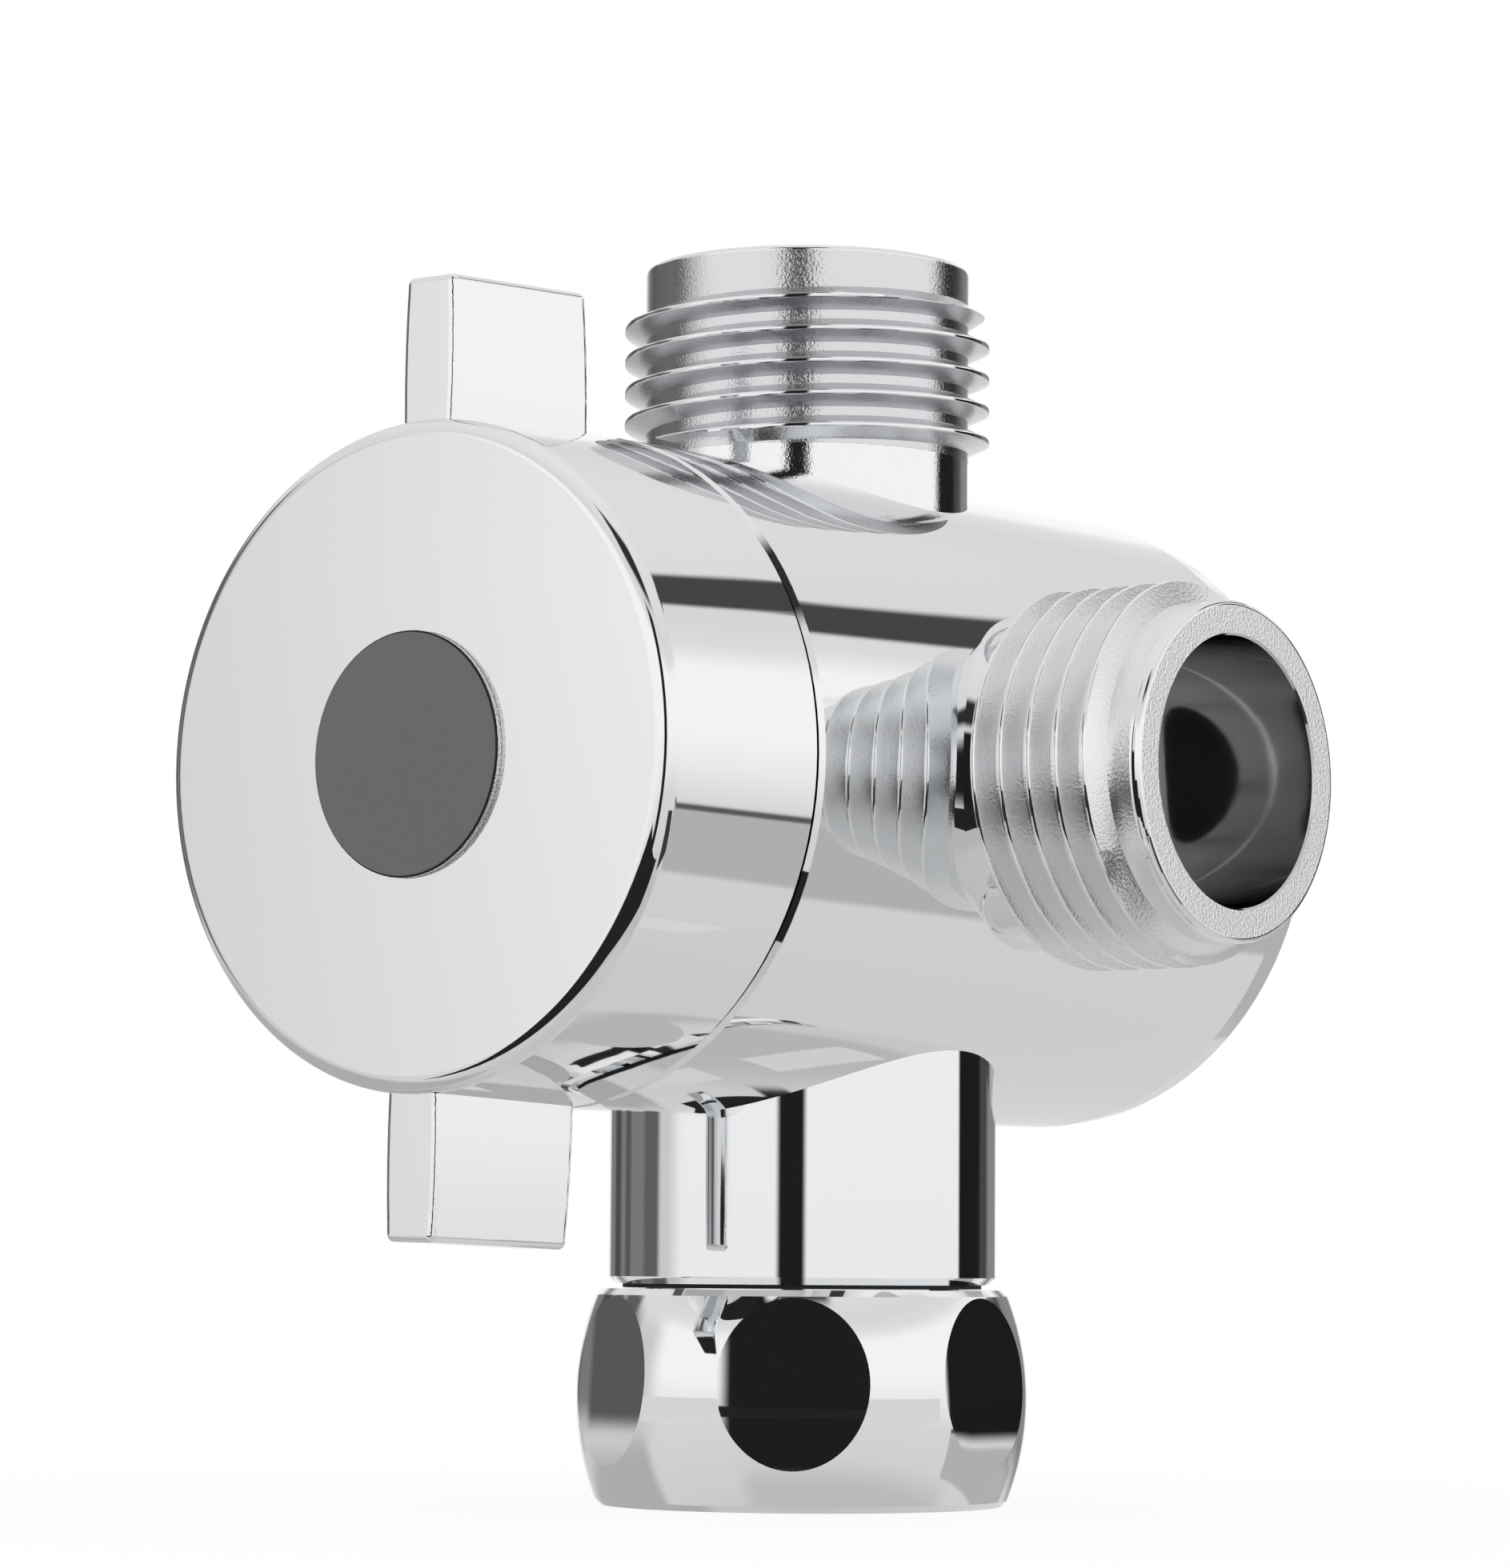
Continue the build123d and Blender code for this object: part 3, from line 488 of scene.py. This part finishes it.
def outlet_skin(bm, axis, start, rim, grooved):
    """Swap an outlet's plain stand-in for its root tube, collar, turned rim, face and bore."""
    size = setting("diverter_outlets")

    def stand_in(offset):
        along = offset.dot(axis)
        radius = (offset - axis * along).length
        outer = along > start - TOUCH and radius < size.collar + 2 * MM
        bore = along > size.floor - TOUCH and abs(radius - size.bore) < TOUCH
        floor = grooved and abs(along - size.floor) < TOUCH and radius > size.port - TOUCH
        return outer or bore or floor

    delete_faces(bm, stand_in)
    old = set(bm.faces)
    r, edge = size.rim_round, size.mouth_break
    outline = [(start + 2 * TOUCH, size.collar)]
    if grooved:
        line = rim - size.groove_place
        outline += [(line - size.groove, size.collar), (line, size.collar - size.groove),
                    (line + size.groove, size.collar)]
    outline += arc_points((rim - r, size.collar - r), r, 90, 0, 8)
    outline += [(rim, size.bore + edge), (rim - edge, size.bore)]
    if grooved:
        outline += [(size.side_floor + edge, size.bore), (size.side_floor, size.bore - edge),
                    (size.side_floor, size.port)]
    inner = size.port if grooved else size.bore
    spin_outline(bm, axis, [*outline, (size.floor + 2 * TOUCH, inner)], size.segments)
    bmesh.ops.bridge_loops(bm, edges=loop_at(bm, axis, start, size.collar)
                           + loop_at(bm, axis, start + 2 * TOUCH, size.collar))
    bmesh.ops.bridge_loops(bm, edges=loop_at(bm, axis, size.floor, inner)
                           + loop_at(bm, axis, size.floor + 2 * TOUCH, inner))
    bm.normal_update()
    layer = bm.loops.layers.float_vector["true_normal"]
    for face in bm.faces:
        offset = face.calc_center_median() - JUNCTION
        along = offset.dot(axis)
        outward = (offset - axis * along).normalized()
        radius = offset.dot(outward)
        if face in old:
            if abs(along - size.floor) < FLAT and radius < size.bore:
                face.material_index = DRILLED
            elif not grooved and along > 0 and abs(radius - size.collar) < 2 * TOUCH:
                face.material_index = TURNED
            continue
        wall = 1 if radius > (size.bore + size.collar) / 2 else -1
        on_floor = grooved and abs(along - size.side_floor) < TOUCH
        facing = outward * wall + axis * (1 if along > rim - r or on_floor else 0)
        if face.normal.dot(facing) < 0:
            face.normal_flip()
        lean = face.normal.dot(axis)
        if lean > 0.999:
            face.material_index = DRILLED if on_floor else FACED
        elif wall < 0 and (along > size.side_floor + edge or not grooved):
            face.material_index = BORED
        elif along < rim - size.groove_place - size.pitch:
            face.material_index = SATIN if grooved else CUT
        elif not grooved:
            face.material_index = TURNED
        steep = face.normal.dot(outward)
        for loop in face.loops:
            spot = loop.vert.co - JUNCTION
            spoke = (spot - axis * spot.dot(axis)).normalized()
            loop[layer] = (axis * lean + spoke * steep).normalized()


def thread_ridge(name, axis, first, run, materials):
    """One helical ridge of pipe thread that stands on an outlet's root tube."""
    size = setting("diverter_outlets")
    turns, start, fade_in, fade_out = run
    major = MOUNTS["top_outlet"]["dims"]["r_mm"] * MM
    foot = (size.pitch - size.root) / 2
    slope = (foot - size.crest / 2) / (major - size.collar)
    foot_sunk = foot + size.sunk * slope
    low = size.collar - size.sunk
    shoulder = major - size.crest * CREST_DROP
    top = size.crest * CREST_TOP
    outline = [(-foot_sunk, low), (-size.crest / 2, shoulder), (-top, major),
               (top, major), (size.crest / 2, shoulder), (foot_sunk, low)]
    bm = bmesh.new()
    verts = [bm.verts.new(place(axis, first + along, radius, math.radians(start)))
             for along, radius in outline]
    section = bm.faces.new(verts)
    steps = round(size.segments * turns)
    bmesh.ops.spin(bm, geom=[section], cent=JUNCTION, axis=axis,
                   dvec=axis * (size.pitch * turns / steps), angle=2 * math.pi * turns,
                   steps=steps, use_merge=False, use_duplicate=False)
    for vert in bm.verts:
        offset = vert.co - JUNCTION
        along = offset.dot(axis)
        outward = offset - axis * along
        travelled = (along - first) / size.pitch
        keep = max(0.0, min(1.0, travelled / fade_in, (turns - travelled) / fade_out))
        height = outward.length - low
        vert.co = JUNCTION + axis * along + outward.normalized() * (low + height * keep)
    bmesh.ops.recalc_face_normals(bm, faces=bm.faces)
    for face in bm.faces:
        face.smooth = True
        middle = face.calc_center_median() - JUNCTION
        if (middle - axis * middle.dot(axis)).length > major - size.crest * CREST_DROP * 0.75:
            face.material_index = 1
    made = finished_piece(bm, name, "body", materials)
    made.data.set_sharp_from_angle(angle=math.radians(35))
    return made


class DIVERTER_OT_tee_body(bpy.types.Operator):
    """Chromed tee body with both outlets' collars, rims and bores"""
    bl_idname = "diverter.tee_body"
    bl_label = "Tee body"

    def execute(self, context):
        size = setting("diverter_outlets")
        bm = cad_copy("valve_body")
        for axis, mount, rim, grooved in ((Z_AXIS, "top_outlet", TOP_RIM, False),
                                          (X_AXIS, "side_outlet", SIDE_RIM, True)):
            lump = MOUNTS[mount]
            middle = (Vector(lump["pos_m"]) - JUNCTION).dot(axis)
            lead = lump["dims"]["r_mm"] * MM - size.collar
            start = middle - lump["dims"]["length_mm"] * MM / 2 - lead
            outlet_skin(bm, axis, start, rim, grooved)
        for face in bm.faces:
            face.smooth = True
        finished_piece(bm, "tee_body", "body",
                       [bright_chrome(), satin_chrome(), turned_chrome(), cut_chrome(),
                        faced_chrome(), bored_nickel(), drilled_nickel()], ["valve_body"])
        return {"FINISHED"}


class DIVERTER_OT_threads(bpy.types.Operator):
    """Half-inch pipe threads of the top and side outlets"""
    bl_idname = "diverter.threads"
    bl_label = "Outlet threads"

    def execute(self, context):
        size = setting("diverter_outlets")
        bright, satin, cut = (bpy.data.materials[name] for name in (
            "bright_chrome", "satin_chrome", "cut_chrome"))
        thread_ridge("top_thread", Z_AXIS, size.top_start, TOP_RUN, [cut, bright])
        thread_ridge("side_thread", X_AXIS, size.side_start, SIDE_RUN, [satin, bright])
        return {"FINISHED"}


def soften_flats(bm):
    """Let the nut's flats turn away to one side and down to their foot, as polished ones do."""
    surface = bm.faces.layers.int["surface"]
    layer = bm.loops.layers.float_vector["true_normal"]
    groups = {}
    for face in bm.faces:
        if abs(face.normal.z) < 0.2:
            groups.setdefault(face[surface], []).append(face)
    flats = [faces for faces in groups.values() if len(faces) >= 12
             and min(face.normal.dot(faces[0].normal) for face in faces) > 0.9999]
    if not flats:
        raise RuntimeError("the swivel nut shows no spanner flat")
    for faces in flats:
        normal = faces[0].normal.copy()
        flat = bmesh.ops.dissolve_faces(bm, faces=faces, use_verts=False)["region"][0]
        middle = flat.calc_center_median()
        side = Z_AXIS.cross(normal).normalized()
        half = max(abs((v.co - middle).dot(side)) for v in flat.verts)
        rise = max(abs(v.co.z - middle.z) for v in flat.verts)
        made = []
        for _ in range(FLAT_RINGS):
            made += bmesh.ops.inset_individual(bm, faces=[flat], use_even_offset=True,
                                               thickness=FLAT_REACH * half / FLAT_RINGS)["faces"]
        made += bmesh.ops.poke(bm, faces=[flat])["faces"]
        for face in made:
            face.smooth = True
            for loop in face.loops:
                share = (loop.vert.co - middle).dot(side) / half
                lean = FLAT_AWAY * max(0.0, (-share - FLAT_LEVEL) / (1 - FLAT_LEVEL))
                droop = FLAT_DOWN * max(0.0, (middle.z - loop.vert.co.z) / rise)
                loop[layer] = (normal - side * lean - Z_AXIS * droop).normalized()


class DIVERTER_OT_barrel_nut(bpy.types.Operator):
    """Chromed barrel nut with leaning flats"""
    bl_idname = "diverter.barrel_nut"
    bl_label = "Swivel nut"

    def execute(self, context):
        bm = cad_copy("swivel_nut")
        soften_flats(bm)
        finished_piece(bm, "barrel_nut", "nut",
                       [bpy.data.materials["bright_chrome"]], ["swivel_nut"])
        return {"FINISHED"}


class DIVERTER_OT_winged_cap(bpy.types.Operator):
    """Chromed winged cap handle"""
    bl_idname = "diverter.winged_cap"
    bl_label = "Winged cap"

    def execute(self, context):
        finished_piece(cad_copy("handle"), "winged_cap", "handle",
                       [bpy.data.materials["bright_chrome"]], ["handle"])
        return {"FINISHED"}


class DIVERTER_OT_button(bpy.types.Operator):
    """Grey index button in the handle's face"""
    bl_idname = "diverter.button"
    bl_label = "Index button"

    def execute(self, context):
        bm = cad_copy("index_button")
        for face in bm.faces:
            # 0 on the face, 1 on its rounded edge, 2 on the side that the socket holds
            face.material_index = (face.normal.y > -0.8) + (face.normal.y > -0.15)
        finished_piece(bm, "button", "handle",
                       [index_plastic(), index_edge(), bpy.data.materials["faced_chrome"]],
                       ["index_button"])
        return {"FINISHED"}


class DIVERTER_OT_inner_parts(bpy.types.Operator):
    """Finishes of the rotor, seals, bearings, springs and screw"""
    bl_idname = "diverter.inner_parts"
    bl_label = "Inner parts"

    def execute(self, context):
        finishes = {
            "turned_brass": turned_brass(),
            "bearing_plastic": moulded_acetal(),
            "seal_rubber": nitrile_rubber(),
            "spring_steel": stainless_steel(),
        }
        for part in frame["record"]["subparts"]:
            if part["material_slot"] in finishes:
                mesh = frame["nodes"][part["node"]].data
                mesh.materials.clear()
                mesh.materials.append(finishes[part["material_slot"]])
        return {"FINISHED"}


# Studio cards as a mirror sees them: from and to in degrees from -Y towards +X, from and to above
# the horizon, softness of the edges in degrees, and the card's grey
CARDS = (
    ("left_table", -132, -50, -64, -9, 9, "#B2B2B2"),
    ("right_table", 122, 188, -25, -9.5, 1.5, "#B5B5B5"),
    ("right_table_edge", 122, 142, -11, -9.7, 0.8, "#5A5A5A"),
    ("left_haze", -66, -43, -12, 24, 14, "#CFCFCF"),
    ("left_wall", -124, -62, -5, 22, 9, "#7C7C7C"),
    ("left_shelf", -110, -99, -5, 20, 5, "#4E4E4E"),
    ("left_post", -92, -85, -5, 20, 4, "#595959"),
    ("left_edge", -70, -56, -6, 13, 5, "#606060"),
    ("left_edge_top", -82, -67, 11, 26, 6, "#606060"),
    ("rear_wall", 168, 206, -9, 18, 8, "#888888"),
    ("camera_side", 24, 40, -27, 34, 4, "#1E1E1E"),
    ("under_table", 6, 130, -54, -30, 15, "#C1C1C1"),
    ("camera_hood", 11, 56, 39, 60, 7, "#303030"),
    ("right_flag", 145, 172, -8, 16.5, 3, "#1C1C1C"),
    ("right_tail", 170, 182, -8, 16, 8, "#474747"),
    ("right_bar", 151, 172, 29.5, 34.3, 1, "#464646"),
    ("right_bar_top", 138, 160, 34.3, 39.4, 1, "#464646"),
)
# Stretches of the paper strip round the nut, in degrees from -Y towards +X, and its grey
STRIPS = (("paper_strip_left", -36, 21), ("paper_strip_right", 49, 100))
STRIP_GREY = "#DCDCDC"
# Greys of the room that the chrome mirrors, by degrees above the horizon
SKY = ((-90, "#C6C6C6"), (-45, "#CFCFCF"), (-33, "#D5D5D5"), (-25, "#D7D7D7"), (-10, "#DCDCDC"),
       (-4, "#EBEBEB"), (0, "#F3F3F3"), (7, "#FCFCFC"), (22, "#FCFCFC"), (26.5, "#E4E4E4"),
       (32, "#DDDDDD"), (42, "#E4E4E4"), (90, "#EDEDED"))
# Boards that lie on the floor, seen only in the chrome: corners in mm, and the board's grey
BOARDS = (
    # The front board is painted shade: a dark card on the floor just in front of the valve, where the
    # valve's own shade falls, that only the chrome shows. The right board is a plain dark card.
    ("front_cloth", ((76, -42), (48, -38), (26, -58), (-8, -64), (-36, -70), (-42, -100),
                     (-110, -210), (-140, -300), (60, -300), (74, -130)), "#242424"),
    ("right_cloth", ((68, -22), (150, -40), (150, 26), (78, 24)), "#3A3A3A"),
)


class DIVERTER_OT_studio(bpy.types.Operator):
    """Camera, soft white light, studio cards and floor"""
    bl_idname = "diverter.studio"
    bl_label = "Studio"

    def execute(self, context):
        scene = context.scene
        studio = setting("diverter_studio")
        scene.view_settings.view_transform = "Standard"
        self.camera(scene, studio)
        self.world(scene, studio)
        self.floor(scene, studio)
        for name, corners, code in BOARDS:
            bm = bmesh.new()
            bm.faces.new([bm.verts.new((x * MM, y * MM, 0)) for x, y in corners])
            self.board(scene, name, bm, code)
        for name, west, east in STRIPS:
            bm = bmesh.new()
            turn = Matrix.Rotation(math.radians(west), 4, "Z")
            ends = [bm.verts.new(turn @ Vector((0, -studio.wall_r, height)))
                    for height in (studio.wall_low, studio.wall_top)]
            bmesh.ops.spin(bm, geom=[*ends, bm.edges.new(ends)], cent=(0, 0, 0), axis=(0, 0, 1),
                           dvec=(0, 0, 0), angle=math.radians(east - west), steps=24,
                           use_merge=False, use_duplicate=False)
            self.board(scene, name, bm, STRIP_GREY)
        return {"FINISHED"}

    def camera(self, scene, studio):
        lens = bpy.data.cameras.new("camera")
        lens.sensor_width = 36
        lens.lens = studio.lens
        lens.clip_start = 0.01
        camera = bpy.data.objects.new("camera", lens)
        yaw, pitch, roll = studio.yaw, studio.pitch, studio.roll
        ahead = Vector((-math.sin(yaw) * math.cos(pitch), math.cos(yaw) * math.cos(pitch),
                        math.sin(pitch)))
        level = Vector((math.cos(yaw), math.sin(yaw), 0))
        upright = level.cross(ahead)
        right = level * math.cos(roll) + upright * math.sin(roll)
        up = -level * math.sin(roll) + upright * math.cos(roll)
        camera.matrix_world = Matrix((
            (right.x, up.x, -ahead.x, studio.camera_place[0]),
            (right.y, up.y, -ahead.y, studio.camera_place[1]),
            (right.z, up.z, -ahead.z, studio.camera_place[2]),
            (0, 0, 0, 1),
        ))
        scene.collection.objects.link(camera)
        scene.camera = camera

    def world(self, scene, studio):
        world = bpy.data.worlds.new("studio")
        scene.world = world
        world.use_nodes = True
        tree = world.node_tree
        tree.nodes.clear()
        output = node(tree, "ShaderNodeOutputWorld")
        direction = node(tree, "ShaderNodeSeparateXYZ", {
            0: node(tree, "ShaderNodeTexCoord").outputs["Generated"]})
        back = node(tree, "ShaderNodeMath", {0: direction.outputs["Y"], 1: -1.0},
                    operation="MULTIPLY")
        turn = node(tree, "ShaderNodeMath", {0: direction.outputs["X"], 1: back.outputs[0]},
                    operation="ARCTAN2")
        turn = node(tree, "ShaderNodeMath", {0: turn.outputs[0]}, operation="DEGREES").outputs[0]
        rise = node(tree, "ShaderNodeMath", {0: direction.outputs["Z"]}, operation="ARCSINE")
        rise = node(tree, "ShaderNodeMath", {0: rise.outputs[0]}, operation="DEGREES").outputs[0]
        sky = node(tree, "ShaderNodeValToRGB", {0: node(tree, "ShaderNodeMapRange", {
            "Value": rise, "From Min": -90.0, "From Max": 90.0}).outputs[0]})
        ramp = sky.color_ramp
        while len(ramp.elements) < len(SKY):
            ramp.elements.new(0.5)
        for element, (height, code) in zip(ramp.elements, SKY):
            element.position = (height + 90) / 180
            element.color = rgba(linear(code))
        seen = sky.outputs["Color"]
        for name, west, east, low, high, soft, code in CARDS:
            across = node(tree, "ShaderNodeMath", {0: turn, 1: (west + east) / 2},
                          operation="SUBTRACT")
            across = node(tree, "ShaderNodeMath", {0: across.outputs[0], 1: 180.0, 2: -180.0},
                          operation="WRAP")
            above = node(tree, "ShaderNodeMath", {0: rise, 1: (low + high) / 2},
                         operation="SUBTRACT")
            mask = None
            for offset, half in ((across, (east - west) / 2), (above, (high - low) / 2)):
                away = node(tree, "ShaderNodeMath", {0: offset.outputs[0]}, operation="ABSOLUTE")
                near = node(tree, "ShaderNodeMapRange", {
                    "Value": away.outputs[0], "From Min": half - soft / 2.0,
                    "From Max": half + soft / 2.0, "To Min": 1.0, "To Max": 0.0},
                    interpolation_type="SMOOTHSTEP")
                mask = near if mask is None else node(
                    tree, "ShaderNodeMath", {0: mask.outputs[0], 1: near.outputs[0]},
                    operation="MULTIPLY")
            seen = node(tree, "ShaderNodeMix", {0: mask.outputs[0], 6: seen, 7: rgba(linear(code))},
                        data_type="RGBA", label=name).outputs[2]
        plain = node(tree, "ShaderNodeBackground", {"Color": (1, 1, 1, 1), "Strength": studio.light})
        cards = node(tree, "ShaderNodeBackground", {"Color": seen, "Strength": 1.0})
        white = node(tree, "ShaderNodeBackground", {"Color": (1, 1, 1, 1), "Strength": 1.0})
        path = node(tree, "ShaderNodeLightPath")
        mirrored = node(tree, "ShaderNodeMath", {
            0: path.outputs["Is Glossy Ray"], 1: path.outputs["Is Transmission Ray"]},
            operation="MAXIMUM")
        lit = node(tree, "ShaderNodeMixShader", {
            0: mirrored.outputs[0], 1: plain.outputs[0], 2: cards.outputs[0]})
        shown = node(tree, "ShaderNodeMixShader", {
            0: path.outputs["Is Camera Ray"], 1: lit.outputs[0], 2: white.outputs[0]})
        tree.links.new(shown.outputs[0], output.inputs["Surface"])

    def board(self, scene, name, bm, code):
        """Paper board of one grey that only reflections show."""
        mesh = bpy.data.meshes.new(name)
        bm.to_mesh(mesh)
        bm.free()
        board = bpy.data.objects.new(name, mesh)
        scene.collection.objects.link(board)
        made, tree, surface = new_material(name + "_paper")
        grey = node(tree, "ShaderNodeEmission", {"Color": rgba(linear(code)), "Strength": 1.0})
        tree.links.new(grey.outputs[0], surface)
        mesh.materials.append(made)
        board.visible_camera = False
        board.visible_diffuse = False
        board.visible_shadow = False

    def floor(self, scene, studio):
        bm = bmesh.new()
        bmesh.ops.create_circle(bm, cap_ends=True, segments=128, radius=studio.floor_r)
        mesh = bpy.data.meshes.new("floor")
        bm.to_mesh(mesh)
        bm.free()
        floor = bpy.data.objects.new("floor", mesh)
        scene.collection.objects.link(floor)
        made, tree, surface = new_material("pale_floor")
        own = node(tree, "ShaderNodeBsdfDiffuse", {"Color": rgba(linear("#FFFFFF"))})
        white = node(tree, "ShaderNodeEmission", {"Color": (1, 1, 1, 1), "Strength": 1.0})
        path = node(tree, "ShaderNodeLightPath")
        share = node(tree, "ShaderNodeMath", {
            0: path.outputs["Is Camera Ray"], 1: 1 - studio.shade}, operation="MULTIPLY")
        mixed = node(tree, "ShaderNodeMixShader", {
            0: share.outputs[0], 1: own.outputs[0], 2: white.outputs[0]})
        tree.links.new(mixed.outputs[0], surface)
        mesh.materials.append(made)
        floor.visible_glossy = False


class DIVERTER_PT_panel(bpy.types.Panel):
    """Lists the valve's pieces and their settings"""
    bl_idname = "DIVERTER_PT_panel"
    bl_label = "Shower diverter valve"
    bl_space_type = "VIEW_3D"
    bl_region_type = "UI"
    bl_category = "Diverter"

    def draw(self, context):
        for step in STEPS:
            self.layout.operator(step.bl_idname)
        for group, kind in GROUPS.items():
            box = self.layout.box()
            for name in kind.__annotations__:
                box.prop(setting(group), name)


STEPS = (DIVERTER_OT_tee_body, DIVERTER_OT_threads, DIVERTER_OT_barrel_nut, DIVERTER_OT_winged_cap,
         DIVERTER_OT_button, DIVERTER_OT_inner_parts, DIVERTER_OT_studio)
CLASSES = (*GROUPS.values(), *STEPS, DIVERTER_PT_panel)


def register():
    for made in CLASSES:
        bpy.utils.register_class(made)
    for group, kind in GROUPS.items():
        setattr(bpy.types.Scene, group, PointerProperty(type=kind))


def unregister():
    for group in GROUPS:
        delattr(bpy.types.Scene, group)
    for made in reversed(CLASSES):
        bpy.utils.unregister_class(made)


def main():
    register()
    bpy.ops.diverter.tee_body()
    bpy.ops.diverter.threads()
    bpy.ops.diverter.barrel_nut()
    bpy.ops.diverter.winged_cap()
    bpy.ops.diverter.button()
    bpy.ops.diverter.inner_parts()
    bpy.ops.diverter.studio()


if __name__ == "__main__":
    main()
